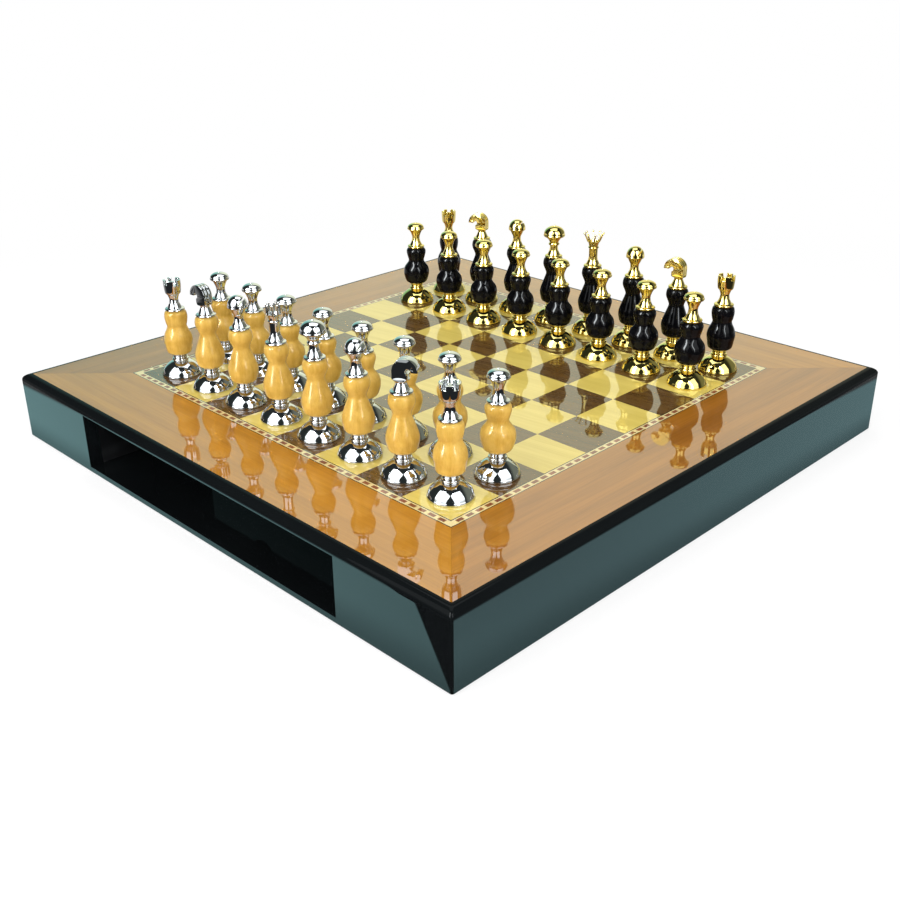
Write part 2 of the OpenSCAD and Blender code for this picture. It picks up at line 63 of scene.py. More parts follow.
# ---- Camera ----
# It stands off the near corner, a little over a box's width away, and looks down on the board.
# The photograph's perspective gives its place, its turn and its lens.
camera_turn = math.radians(45.04)
camera_tilt = math.radians(25.66)
camera_roll = math.radians(-0.45)
camera_place = (0.54419, -0.54394, 0.35432)
camera = bpy.data.objects.new("camera", bpy.data.cameras.new("camera"))
bpy.context.scene.collection.objects.link(camera)
camera.data.sensor_width = 36
camera.data.lens = 44.58
camera.data.clip_start = 0.02
camera.matrix_world = (
    Matrix.Translation(camera_place)
    @ Matrix.Rotation(camera_turn, 4, "Z")
    @ Matrix.Rotation(math.pi / 2 - camera_tilt, 4, "X")
    @ Matrix.Rotation(camera_roll, 4, "Z")
)
bpy.context.scene.camera = camera
bpy.context.scene.view_settings.view_transform = "Standard"


# ---- Table and room ----
# A white table runs on into a white room behind the box. The side where the camera stands is
# dark, which is what makes the polished metal read as black and white.
def add(tree, kind, inputs=None, **settings):
    """A new shader node; each input is a plain value or another node's output."""
    made = tree.nodes.new("ShaderNode" + kind)
    for name, value in settings.items():
        setattr(made, name, value)
    for name, value in (inputs or {}).items():
        if isinstance(value, bpy.types.NodeSocket):
            tree.links.new(value, made.inputs[name])
        else:
            made.inputs[name].default_value = value
    return made


def math_node(tree, operation, a, b=0.0, c=0.0):
    return add(tree, "Math", {0: a, 1: b, 2: c}, operation=operation).outputs[0]


def ramp(tree, value, low, high, start=0.0, end=1.0):
    """The value, taken smoothly from low to high while it runs from start to end."""
    values = {0: value, 1: start, 2: end, 3: low, 4: high}
    return add(tree, "MapRange", values, interpolation_type="SMOOTHSTEP").outputs[0]


def clear_tree(owner):
    owner.use_nodes = True
    owner.node_tree.nodes.clear()
    return owner.node_tree


def object_place(tree):
    return add(tree, "TexCoord").outputs["Object"]


def along(tree, place, direction):
    """How far the place lies in that direction."""
    made = add(tree, "VectorMath", {0: place, 1: direction}, operation="DOT_PRODUCT")
    return made.outputs["Value"]


def blend(tree, factor, first, second):
    """The first colour where the factor is 0, and the second where it is 1."""
    return add(tree, "Mix", {0: factor, 6: first, 7: second}, data_type="RGBA").outputs[2]


def fade(tree, factor, first, second):
    """The first shader where the factor is 0, and the second where it is 1."""
    return add(tree, "MixShader", {0: factor, 1: first, 2: second}).outputs[0]


table_w, table_drop, table_glow = 14, 0.1 * MM, 0.72
near_corner = (0.225, -0.225, 0)
corner_line = (0.517, -0.857, 0)
picture_right, away = (0.707, 0.707, 0), (-0.707, 0.707, 0)
bpy.ops.object.select_all(action="DESELECT")
bpy.ops.mesh.primitive_plane_add(size=table_w, location=(0, 0, -table_drop))
table = bpy.context.object
table.name = "table"
table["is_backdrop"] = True
paint = bpy.data.materials.new("table_white")
tree = clear_tree(paint)
path = add(tree, "LightPath").outputs
place = object_place(tree)
distance = add(tree, "VectorMath", {0: place}, operation="LENGTH").outputs["Value"]
white = add(tree, "BsdfDiffuse", {"Color": (0.9, 0.9, 0.9, 1)}).outputs[0]
glow = add(tree, "Emission", {"Color": (1, 1, 1, 1)}).outputs[0]
seen = fade(tree, ramp(tree, distance, table_glow, 1.0, 0.35, 0.8), white, glow)

# What polished surfaces see of it is a painted reflection, a glow that only glossy rays meet.
# Where the walls look down on the table close by it is cool grey-green, weaker on the right, with
# painted shade darkening it right under them, and black past the near corner. The men look over the
# box to the table further off, which is white behind the box. Their rays reach the table after
# far_reach, and those of the walls before near_reach.
near_reach, far_reach = 0.113, 0.123
from_corner = add(tree, "VectorMath", {0: place, 1: near_corner}, operation="SUBTRACT").outputs[0]
beyond = ramp(tree, along(tree, from_corner, corner_line), 0.0, 1.0, -0.0004, 0.0006)
rightward = ramp(tree, along(tree, place, picture_right), 0.0, 1.0, -0.15, 0.15)
beside = blend(tree, rightward, (0.38, 0.70, 0.72, 1), (0.28, 0.48, 0.51, 1))
# Painted shade: the reflection darkens where a wall's ray has run less than 5 cm to the table.
past_painted_shade = ramp(tree, path["Ray Length"], 0.6, 1.0, 0.0, 0.05)
beside = blend(tree, past_painted_shade, (0.01, 0.02, 0.02, 1), beside)
# Painted dark reflection past the near corner, where the table itself is white.
cool = blend(tree, beyond, beside, (0.004, 0.004, 0.004, 1))
behind = ramp(tree, along(tree, place, away), 0.0, 1.0, -0.1, 0.5)
afar = blend(tree, behind, (0.02, 0.022, 0.024, 1), (0.8, 0.8, 0.8, 1))
far_off = ramp(tree, path["Ray Length"], 0.0, 1.0, near_reach, far_reach)
shine = blend(tree, far_off, cool, afar)
# The painted reflection is an emission that only glossy rays see.
painted_reflection = add(tree, "Emission", {"Color": shine}).outputs[0]
plain = fade(tree, path["Is Camera Ray"], white, seen)
add(tree, "OutputMaterial", {"Surface": fade(tree, path["Is Glossy Ray"], plain, painted_reflection)})
table.data.materials.append(paint)

# The pale screen behind the box is cooler on the left. Round the right side a faint wall shows.
room_light = 0.55
right_side = (0.173, 0.985, 0)
world = bpy.data.worlds.new("room")
bpy.context.scene.world = world
tree = clear_tree(world)
path = add(tree, "LightPath").outputs
way = add(tree, "TexCoord").outputs["Generated"]
sideways = along(tree, way, picture_right)
facing = ramp(tree, along(tree, way, away), 0.0, 1.0, 0.62, 0.8)
left_fall = ramp(tree, sideways, 0.6, 1.0, -0.45, 0.0)
right_fall = ramp(tree, sideways, 1.0, 0.75, 0.1, 0.5)
screen = math_node(tree, "MULTIPLY", facing, math_node(tree, "MULTIPLY", left_fall, right_fall))
right_wall = ramp(tree, along(tree, way, right_side), 0.0, 0.16, 0.6, 0.85)
screen = math_node(tree, "MAXIMUM", screen, right_wall)
warmer = ramp(tree, sideways, 0.0, 1.0, -0.4, 0.0)
tint = blend(tree, warmer, (0.45, 1.0, 0.9, 1), (0.98, 1.04, 0.8, 1))
backdrop = blend(tree, screen, (0.025, 0.03, 0.03, 1), tint)
gloss = add(tree, "Background", {"Color": backdrop}).outputs[0]
even = add(tree, "Background", {"Color": (1, 1, 1, 1), "Strength": room_light}).outputs[0]
clean = add(tree, "Background", {"Color": (1, 1, 1, 1)}).outputs[0]
lit = fade(tree, path["Is Glossy Ray"], even, gloss)
add(tree, "OutputWorld", {"Surface": fade(tree, path["Is Camera Ray"], lit, clean)})


# ---- Lamps ----
# Two tall softboxes stand to the left and the right of the camera, and a third hangs over the box
# and a little behind it. Each is a lamp for its light, and a card that only polished surfaces see.
# The tall two grow dim towards the foot, and show a hot upright band in the first reflection.
softbox_off, cloth_glow = 1.4, 2.0
dim_below, full_above = -0.32, -0.08


def softbox(
    name, turn, rise, width, height, power, hot_x=0.0, hot_w=0.1, hot=cloth_glow, foot=0.25
):
    place = Matrix.Rotation(camera_turn + math.radians(turn), 4, "Z")
    place = place @ Matrix.Rotation(math.radians(90 - rise), 4, "X")
    place = place @ Matrix.Translation((0, 0, softbox_off))
    lamp = bpy.data.objects.new(name, bpy.data.lights.new(name, "AREA"))
    lamp.data.shape = "RECTANGLE"
    lamp.data.size, lamp.data.size_y = width, height
    lamp.data.energy = power
    lamp.matrix_world = place
    lamp.visible_glossy = False
    bpy.context.scene.collection.objects.link(lamp)
    bpy.ops.object.select_all(action="DESELECT")
    bpy.ops.mesh.primitive_plane_add(size=1)
    card = bpy.context.object
    card.name = name + "_card"
    card.matrix_world = place @ Matrix.Diagonal((width, height, 1, 1))
    card.visible_camera = card.visible_diffuse = card.visible_shadow = False
    card.visible_transmission = card.visible_volume_scatter = False
    cloth = bpy.data.materials.new(name)
    cloth.cycles.emission_sampling = "NONE"
    tree = clear_tree(cloth)
    spot = add(tree, "SeparateXYZ", {0: object_place(tree)}).outputs
    off = math_node(tree, "ABSOLUTE", math_node(tree, "SUBTRACT", spot["X"], hot_x))
    band = ramp(tree, off, hot - cloth_glow, 0.0, 0.0, hot_w)
    first = math_node(tree, "LESS_THAN", add(tree, "LightPath").outputs["Glossy Depth"], 1.5)
    glare = math_node(tree, "MULTIPLY_ADD", band, first, cloth_glow)
    lengthwise = ramp(tree, spot["Y"], foot, 1.0, dim_below, full_above)
    glare = math_node(tree, "MULTIPLY", glare, lengthwise)
    light = add(tree, "Emission", {"Color": (0.93, 0.98, 1.0, 1), "Strength": glare})
    add(tree, "OutputMaterial", {"Surface": light.outputs[0]})
    card.data.materials.append(cloth)
    card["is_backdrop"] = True


softbox("softbox_left", -47, 29, 1.44, 1.84, power=20, hot_x=-0.07, hot_w=0.17, hot=60)
softbox("softbox_right", 39, 29, 1.24, 1.84, power=16, hot_x=-0.18, hot_w=0.1, hot=34)
softbox("softbox_over", 0, 101, 1.06, 0.84, power=5, foot=1.0)


# ---- Top board ----
# A plain board under black polyester lacquer, which shines less round the edge. The edge is
# rounded over to a quarter of an ellipse, and the face is sunk for the marquetry.
def skin_group():
    """Polished lacquer: its faint ripple as a normal, and hairline polishing marks as a mask."""
    group = bpy.data.node_groups.new("lacquer_skin", "ShaderNodeTree")
    face = group.interface
    face.new_socket("Vector", in_out="INPUT", socket_type="NodeSocketVector")
    face.new_socket("Ripple", in_out="INPUT", socket_type="NodeSocketFloat").default_value = 0.1
    face.new_socket("Normal", in_out="OUTPUT", socket_type="NodeSocketVector")
    face.new_socket("Marks", in_out="OUTPUT", socket_type="NodeSocketFloat")
    given = group.nodes.new("NodeGroupInput").outputs
    peel = add(group, "TexNoise", {"Vector": given["Vector"], "Scale": 55.0, "Detail": 1.0})
    ripple = {"Strength": given["Ripple"], "Distance": 0.001, "Height": peel.outputs[0]}
    bump = add(group, "Bump", ripple)
    stretched = add(group, "Mapping", {"Vector": given["Vector"], "Scale": (90.0, 1400.0, 700.0)})
    streak = add(group, "TexNoise", {"Vector": stretched.outputs[0], "Scale": 1.0, "Detail": 3.0})
    marks = ramp(group, streak.outputs[0], 0.0, 1.0, 0.55, 0.75)
    out = group.nodes.new("NodeGroupOutput")
    group.links.new(bump.outputs[0], out.inputs["Normal"])
    group.links.new(marks, out.inputs["Marks"])
    return group


lacquer_skin = skin_group()


def use_group(tree, group, inputs):
    made = add(tree, "Group", node_tree=group)
    for name, value in inputs.items():
        if isinstance(value, bpy.types.NodeSocket):
            tree.links.new(value, made.inputs[name])
        else:
            made.inputs[name].default_value = value
    return made.outputs


def material(name):
    made = bpy.data.materials.new(name)
    return made, clear_tree(made)


def finish_material(tree, values):
    shader = add(tree, "BsdfPrincipled", values)
    add(tree, "OutputMaterial", {"Surface": shader.outputs[0]})


wall_top_z, edge_foot_z = 44.2 * MM, 45.6 * MM


def black_lacquer():
    made, tree = material("black_lacquer")
    place = object_place(tree)
    skin = use_group(tree, lacquer_skin, {"Vector": place, "Ripple": 0.04})
    depth = add(tree, "TexNoise", {"Vector": place, "Scale": 9.0, "Detail": 2.0}).outputs[0]
    height = add(tree, "SeparateXYZ", {0: place}).outputs["Z"]
    full = ramp(tree, height, 1.0, 0.0, wall_top_z, edge_foot_z)
    finish_material(
        tree,
        {
            "Base Color": blend(tree, depth, (0.0025, 0.003, 0.0035, 1), (0.006, 0.0075, 0.008, 1)),
            "Roughness": ramp(tree, skin["Marks"], 0.02, 0.05),
            "IOR": ramp(tree, full, 1.13, 1.5),
            "Coat Weight": full,
            "Coat IOR": 1.5,
            "Coat Roughness": 0.02,
            "Normal": skin["Normal"],
        },
    )
    return made


lacquer = black_lacquer()


def new_object(name):
    """Names and returns the object that the last operator made, with its place in its mesh."""
    made = bpy.context.object
    made.name = made.data.name = name
    bpy.ops.object.transform_apply(location=True, rotation=True, scale=True)
    return made


def choose(piece, kind, test):
    """Selects in edit mode the faces or edges for which the test of their middle holds."""
    bpy.ops.mesh.select_mode(type=kind)
    bpy.ops.mesh.select_all(action="DESELECT")
    bpy.ops.object.mode_set(mode="OBJECT")
    mesh = piece.data
    if kind == "EDGE":
        for e in mesh.edges:
            a, b = (mesh.vertices[i].co for i in e.vertices)
            e.select = bool(test((a + b) / 2, b - a))
    else:
        for f in mesh.polygons:
            f.select = bool(test(f.center, f.normal))
    bpy.ops.object.mode_set(mode="EDIT")


def smooth(degrees):
    bpy.ops.object.shade_smooth_by_angle(angle=math.radians(degrees))


edge_wide, edge_high, edge_steps = 6.2 * MM, 4.5 * MM, 14
corner_round, corner_steps = 1.5 * MM, 6
low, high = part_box("top_board")
veneer_low, veneer_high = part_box("border_veneers")
bpy.ops.object.select_all(action="DESELECT")
bpy.ops.mesh.primitive_cube_add(
    size=1,
    location=(0, 0, (low.z + high.z - edge_high) / 2),
    scale=(high.x - low.x, high.y - low.y, high.z - edge_high - low.z),
)
board = new_object("top_board_lacquered")
bpy.ops.object.mode_set(mode="EDIT")
choose(board, "EDGE", lambda middle, run: abs(run.z) > 1 * MM)
bpy.ops.mesh.bevel(offset=corner_round, segments=corner_steps, affect="EDGES")
choose(board, "FACE", lambda middle, normal: normal.z > 0.999)
reach, rise = high.x, 0.0
for i in range(1, edge_steps + 1):
    angle = math.pi / 2 * i / edge_steps
    next_reach = high.x - edge_wide * (1 - math.cos(angle))
    next_rise = edge_high * math.sin(angle)
    step = {"value": (0, 0, next_rise - rise)}
    bpy.ops.mesh.extrude_region_move(TRANSFORM_OT_translate=step)
    shrink = next_reach / reach
    bpy.ops.transform.resize(value=(shrink, shrink, 1), center_override=(0, 0, high.z))
    reach, rise = next_reach, next_rise
bpy.ops.mesh.inset(thickness=reach - veneer_high.x, use_even_offset=True)
step = {"value": (0, 0, veneer_low.z - high.z)}
bpy.ops.mesh.extrude_region_move(TRANSFORM_OT_translate=step)
bpy.ops.object.mode_set(mode="OBJECT")
smooth(35)
board.data.materials.append(lacquer)
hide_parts("top_board")
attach(board, "case")


# ---- Case walls and base ----
# Four mitred walls and a base panel, sprayed with the same black lacquer as the board. The base's
# edge is the lip under each drawer bay.
def dress(node_names, finish):
    for name in node_names:
        mesh = nodes[name].data
        mesh.materials.clear()
        mesh.materials.append(finish)


dress(["case_left", "case_right", "case_front", "case_back", "base_panel"], lacquer)


# ---- Drawer bays and felt ----
# Inside the bays the bare board is only sprayed black, satin and a little rough. Felt under the
# base keeps the box from scratching the table.
def bay_paint():
    made, tree = material("bay_paint")
    place = object_place(tree)
    drawn = add(tree, "Mapping", {"Vector": place, "Scale": (60.0, 9.0, 60.0)}).outputs[0]
    pattern = {"Vector": drawn, "Scale": 1.0, "Detail": 5.0, "Roughness": 0.65}
    brushed = add(tree, "TexNoise", pattern)
    scuff = ramp(tree, brushed.outputs[0], 0.0, 1.0, 0.5, 0.72)
    bump = add(tree, "Bump", {"Strength": 0.25, "Distance": 0.0004, "Height": brushed.outputs[0]})
    finish_material(
        tree,
        {
            "Base Color": blend(tree, scuff, (0.004, 0.004, 0.0045, 1), (0.013, 0.014, 0.015, 1)),
            "Roughness": ramp(tree, scuff, 0.35, 0.6),
            "Normal": bump.outputs[0],
        },
    )
    return made


def felt():
    made, tree = material("felt")
    place = object_place(tree)
    fluff = add(tree, "TexNoise", {"Vector": place, "Scale": 1400.0, "Detail": 3.0}).outputs[0]
    cloud = add(tree, "TexNoise", {"Vector": place, "Scale": 60.0, "Detail": 2.0}).outputs[0]
    both = math_node(tree, "MULTIPLY_ADD", fluff, 0.6, math_node(tree, "MULTIPLY", cloud, 0.4))
    bump = add(tree, "Bump", {"Strength": 0.7, "Distance": 0.0004, "Height": fluff})
    finish_material(
        tree,
        {
            "Base Color": blend(tree, both, (0.006, 0.006, 0.006, 1), (0.04, 0.04, 0.042, 1)),
            "Roughness": 0.95,
            "Sheen Weight": 0.4,
            "Normal": bump.outputs[0],
        },
    )
    return made


black_paint = bay_paint()
black_felt = felt()
dress(["bay_walls", "centre_stop"], black_paint)
dress(["base_felt"], black_felt)


# ---- Drawers ----
# Each drawer is a lacquered front on a tray of black-stained wood: sides, a back, a grooved-in
# floor and a divider, with felt in both compartments.
def grain_group():
    """Wood with its grain along X: broad figure and fine fibres, each from 0 to 1."""
    group = bpy.data.node_groups.new("wood_grain", "ShaderNodeTree")
    face = group.interface
    face.new_socket("Vector", in_out="INPUT", socket_type="NodeSocketVector")
    face.new_socket("Spacing", in_out="INPUT", socket_type="NodeSocketFloat").default_value = 0.006
    face.new_socket("Shift", in_out="INPUT", socket_type="NodeSocketFloat")
    face.new_socket("Figure", in_out="OUTPUT", socket_type="NodeSocketFloat")
    face.new_socket("Fibre", in_out="OUTPUT", socket_type="NodeSocketFloat")
    given = group.nodes.new("NodeGroupInput").outputs
    out = group.nodes.new("NodeGroupOutput")
    size = add(group, "VectorMath", {0: given["Vector"], 1: given["Spacing"]}, operation="DIVIDE")
    moved = add(group, "VectorMath", {0: size.outputs[0], 1: given["Shift"]}, operation="ADD")
    patterns = (("Figure", (0.07, 1.0, 1.0), 3.0), ("Fibre", (0.22, 9.0, 9.0), 2.0))
    for name, stretch, detail in patterns:
        pulled = add(group, "VectorMath", {0: moved.outputs[0], 1: stretch}, operation="MULTIPLY")
        noise = add(
            group,
            "TexNoise",
            {
                "Vector": pulled.outputs[0],
                "Scale": 1.0,
                "Detail": detail,
                "Roughness": 0.55,
                "Distortion": 0.3,
            },
        )
        group.links.new(ramp(group, noise.outputs[0], 0.0, 1.0, 0.3, 0.7), out.inputs[name])
    return group


wood_grain = grain_group()


def mixed(tree, factor, dark, light):
    """The colour between dark and light at the factor."""
    return blend(tree, factor, (*dark, 1), (*light, 1))


def wood_tone(tree, grain, figure_share, fibre_share):
    """The tone of the wood: so much of its figure and so much of its fibres."""
    fibre = math_node(tree, "MULTIPLY", grain["Fibre"], fibre_share)
    return math_node(tree, "MULTIPLY_ADD", grain["Figure"], figure_share, fibre)


def stained_wood():
    made, tree = material("stained_wood")
    place = object_place(tree)
    grain = use_group(tree, wood_grain, {"Vector": place, "Spacing": 0.005})
    tone = wood_tone(tree, grain, 0.5, 0.5)
    bump = add(tree, "Bump", {"Strength": 0.3, "Distance": 0.0002, "Height": grain["Fibre"]})
    finish_material(
        tree,
        {
            "Base Color": mixed(tree, tone, (0.012, 0.010, 0.009), (0.045, 0.038, 0.032)),
            "Roughness": ramp(tree, grain["Fibre"], 0.32, 0.5),
            "Normal": bump.outputs[0],
        },
    )
    return made


black_stain = stained_wood()
for side in ("front", "back"):
    dress([side + "_drawer_front"], lacquer)
    tray = [side + "_drawer_" + part for part in ("sides", "rear", "floor", "divider")]
    dress(tray, black_stain)
    dress([side + "_drawer_lining"], black_felt)


# ---- Border veneers ----
# Four mitred strips of honey-coloured veneer frame the squares, their grain along each side.
# Deep clear lacquer, flatted and polished, lies over the whole board.
def clear_lacquer(tree, colour):
    """The last node of each veneer: wood of that colour under polished clear lacquer."""
    skin = use_group(tree, lacquer_skin, {"Vector": object_place(tree), "Ripple": 0.03})
    finish_material(
        tree,
        {
            "Base Color": colour,
            "Roughness": ramp(tree, skin["Marks"], 0.35, 0.45),
            "Specular IOR Level": 0.1,
            "Coat Weight": 1.0,
            "Coat IOR": 2.2,
            "Coat Roughness": 0.015,
            "Normal": skin["Normal"],
            "Coat Normal": skin["Normal"],
        },
    )


def border_wood():
    made, tree = material("honey_veneer")
    place = object_place(tree)
    x, y, z = add(tree, "SeparateXYZ", {0: place}).outputs
    far_x, far_y = (math_node(tree, "ABSOLUTE", value) for value in (x, y))
    on_side = math_node(tree, "GREATER_THAN", far_x, far_y)
    turned = add(tree, "CombineXYZ", {"X": y, "Y": x, "Z": z}).outputs[0]
    run = add(tree, "Mix", {0: on_side, 4: place, 5: turned}, data_type="VECTOR").outputs[1]
    shift = math_node(tree, "MULTIPLY", on_side, 7.3)
    grain = use_group(tree, wood_grain, {"Vector": run, "Spacing": 0.012, "Shift": shift})
    tone = wood_tone(tree, grain, 0.65, 0.35)
    yellow = mixed(tree, tone, (0.29, 0.112, 0.007), (0.42, 0.17, 0.013))
    orange = mixed(tree, tone, (0.22, 0.075, 0.005), (0.335, 0.125, 0.010))
    clear_lacquer(tree, blend(tree, on_side, yellow, orange))
    return made


dress(["border_veneers"], border_wood())


# ---- Mosaic band ----
# A band of pale maple with short redwood tiles let into it, between two dark strings, all cut
# from sheet veneer and flush with the squares.
def patch_chance(tree, place, patch_w):
    """A number from 0 to 1 that changes from each square patch of the board to the next."""
    size = (patch_w, patch_w, 1.0)
    steps = add(tree, "VectorMath", {0: place, 1: size}, operation="DIVIDE").outputs[0]
    whole = add(tree, "VectorMath", {0: steps}, operation="FLOOR").outputs[0]
    return add(tree, "TexWhiteNoise", {"Vector": whole}, noise_dimensions="3D").outputs["Value"]


mosaic_patch_w = 8 * MM


def plain_veneer(name, dark, light, spacing):
    made, tree = material(name)
    place = object_place(tree)
    chance = patch_chance(tree, place, mosaic_patch_w)
    shift = math_node(tree, "MULTIPLY", chance, 9.0)
    grain = use_group(tree, wood_grain, {"Vector": place, "Spacing": spacing, "Shift": shift})
    patch_share = math_node(tree, "MULTIPLY", chance, 0.5)
    tone = math_node(tree, "MULTIPLY_ADD", grain["Fibre"], 0.5, patch_share)
    clear_lacquer(tree, mixed(tree, tone, dark, light))
    return made


for node, name, dark, light, spacing in (
    ("mosaic_band", "mosaic_maple", (0.58, 0.47, 0.20), (0.74, 0.62, 0.32), 0.004),
    ("mosaic_tiles", "mosaic_redwood", (0.13, 0.035, 0.014), (0.28, 0.08, 0.03), 0.003),
    ("string_lines", "dark_string", (0.006, 0.005, 0.004), (0.012, 0.010, 0.008), 0.003),
):
    dress([node], plain_veneer(name, dark, light, spacing))


# ---- Squares ----
# Thirty-two squares of maple and thirty-two of walnut, all laid with their grain the same way.
# Each is a piece of its own, so tone and figure change from square to square.
square_w, grain_skew, chance_share = 40 * MM, math.radians(-8), 0.2


def square_wood(name, dark, light, spacing, fibre_share):
    made, tree = material(name)
    place = object_place(tree)
    chance = patch_chance(tree, place, square_w)
    skewed = add(tree, "Mapping", {"Vector": place, "Rotation": (0, 0, grain_skew)}).outputs[0]
    shift = math_node(tree, "MULTIPLY", chance, 40.0)
    grain = use_group(tree, wood_grain, {"Vector": skewed, "Spacing": spacing, "Shift": shift})
    tone = wood_tone(tree, grain, 1 - chance_share - fibre_share, fibre_share)
    tone = math_node(tree, "MULTIPLY_ADD", chance, chance_share, tone)
    clear_lacquer(tree, mixed(tree, tone, dark, light))
    return made


maple = square_wood("maple", (0.58, 0.44, 0.085), (0.73, 0.58, 0.14), 0.009, 0.25)
walnut = square_wood("walnut", (0.05, 0.022, 0.005), (0.14, 0.068, 0.014), 0.006, 0.45)
dress(["light_squares"], maple)
dress(["dark_squares"], walnut)


# ---- Metal bases ----
# A turned brass bell with a rimmed foot and two beads round its neck, plated with chrome or gold
# and polished. The wood sits on its flat seat.
def through(knots, steps=5):
    """A smooth curve through the knots, with so many steps from one knot to the next."""
    points = []
    for i in range(len(knots) - 1):
        a, b = Vector(knots[max(i - 1, 0)]), Vector(knots[i])
        c, d = Vector(knots[i + 1]), Vector(knots[min(i + 2, len(knots) - 1)])
        for step in range(steps):
            t = step / steps
            square, cube = 2 * a - 5 * b + 4 * c - d, 3 * b - a - 3 * c + d
            points.append(0.5 * (2 * b + (c - a) * t + square * t**2 + cube * t**3))
    return [tuple(p) for p in points] + [tuple(knots[-1])]


def arc(x, y, r, start, end, steps=6):
    angles = [math.radians(start + (end - start) * i / steps) for i in range(steps + 1)]
    return [(x + r * math.cos(a), y + r * math.sin(a)) for a in angles]


def turn(name, profile, steps=56):
    """Spins a profile of (radius, height) points, in mm, round the upright axis."""
    bpy.ops.object.select_all(action="DESELECT")
    bpy.ops.mesh.primitive_plane_add(size=1 * MM)
    bpy.ops.object.mode_set(mode="EDIT")
    bpy.ops.mesh.select_mode(type="VERT")
    bpy.ops.mesh.select_all(action="SELECT")
    bpy.ops.mesh.merge(type="CENTER")
    here = (0.0, 0.0)
    for i, (r, z) in enumerate(profile):
        step = {"value": ((r - here[0]) * MM, 0, (z - here[1]) * MM)}
        if i == 0:
            bpy.ops.transform.translate(**step)
        else:
            bpy.ops.mesh.extrude_region_move(TRANSFORM_OT_translate=step)
        here = (r, z)
    bpy.ops.mesh.select_all(action="SELECT")
    bpy.ops.mesh.spin(steps=steps, angle=2 * math.pi, center=(0, 0, 0), axis=(0, 0, 1))
    bpy.ops.mesh.select_all(action="SELECT")
    bpy.ops.mesh.remove_doubles(threshold=0.002 * MM)
    bpy.ops.mesh.normals_make_consistent(inside=False)
    bpy.ops.object.mode_set(mode="OBJECT")
    made = new_object(name)
    smooth(38)
    return made


def plated(name, colour, roughness):
    made, tree = material(name)
    finish_material(tree, {"Base Color": (*colour, 1), "Metallic": 1.0, "Roughness": roughness})
    return made


PLATING = {
    "silver": plated("chrome_plate", (0.76, 0.77, 0.78), 0.04),
    "gold": plated("gold_plate", (0.93, 0.75, 0.25), 0.045),
}
foot_r, foot_h, foot_round, bell_h, base_h, neck_r, seat_r = 14.3, 1.5, 0.5, 10.2, 16.1, 4.9, 6.4
neck_l = base_h - bell_h
bead_z = bell_h + 0.24 * neck_l
base_model = turn(
    "base_model",
    [(0, 0)]
    + arc(foot_r - foot_round, foot_round, foot_round, -90, 0, 4)
    + [(foot_r, foot_h)]
    + through(
        [
            (foot_r - 0.3, foot_h + 0.4), (foot_r - 1.6, 0.46 * bell_h),
            (foot_r - 4.3, 0.74 * bell_h), (neck_r + 2.2, 0.93 * bell_h), (neck_r + 0.6, bell_h),
        ],
        6,
    )
    + arc(neck_r + 0.2, bead_z - 0.15, 0.9, -80, 70, 8)
    + through([(neck_r - 0.2, bead_z + 0.95), (neck_r - 0.3, bead_z + 1.25)], 3)
    + arc(neck_r - 0.3, bead_z + 1.85, 0.55, -70, 70, 6)
    + through(
        [
            (neck_r - 0.1, bead_z + 2.5), (neck_r + 0.5, bead_z + 3.2),
            (seat_r - 0.2, base_h - 0.1 * neck_l),
        ],
        4,
    )
    + [(seat_r, base_h - 0.05 * neck_l), (seat_r, base_h), (0, base_h)],
)


# ---- Turned bodies ----
# Each man's body is one turning of dense wood: a full belly, a waist and a round shoulder. One
# set is stained honey, the other black, and both are sealed and polished.
shoulder_r, crown_r = 8.2, 6.5


def body_profile(h, belly_r, belly_z, waist_r, waist_drop, shoulder_drop):
    waist_z = h - waist_drop
    knots = [
        (seat_r + 0.2, 0), (seat_r + 2.4, 1.5), (belly_r - 0.6, belly_z - 4), (belly_r, belly_z),
        (belly_r - 0.8, belly_z + 4.4), (waist_r + 0.6, waist_z - 2.4), (waist_r, waist_z),
        (waist_r + 0.6, waist_z + 2.2), (shoulder_r, h - shoulder_drop),
        (shoulder_r - 0.4, h - 1.4), (crown_r, h),
    ]
    return [(0, 0)] + through(knots, 6) + [(0, h)]


# Height, belly radius and height, waist radius, and the drops from the top to waist and shoulder
BODIES = {
    "pawn": (30.6, 10.9, 9.4, 6.6, 10.3, 3.8),
    "rook": (32.2, 10.3, 10.3, 7.0, 11.1, 4.8),
    "tall": (37.0, 10.4, 8.4, 5.7, 12.7, 5.6),
}
body_models = {
    name: turn(name + "_body_model", body_profile(*sizes)) for name, sizes in BODIES.items()
}


def honey_body():
    made, tree = material("honey_body")
    place = object_place(tree)
    upright = add(tree, "Mapping", {"Vector": place, "Rotation": (0, math.radians(90), 0)})
    grain = use_group(tree, wood_grain, {"Vector": upright.outputs[0], "Spacing": 0.004})
    cloud = add(tree, "TexNoise", {"Vector": place, "Scale": 140.0, "Detail": 3.0}).outputs[0]
    clouding = ramp(tree, cloud, 0.0, 1.0, 0.35, 0.65)
    tone = math_node(tree, "MULTIPLY_ADD", clouding, 0.35, wood_tone(tree, grain, 0.45, 0.2))
    finish_material(
        tree,
        {
            "Base Color": mixed(tree, tone, (0.42, 0.245, 0.034), (0.63, 0.41, 0.09)),
            "Roughness": ramp(tree, cloud, 0.3, 0.4),
            "Specular IOR Level": 0.1,
            "Coat Weight": 1.0,
            "Coat IOR": 1.27,
            "Coat Roughness": 0.11,
        },
    )
    return made


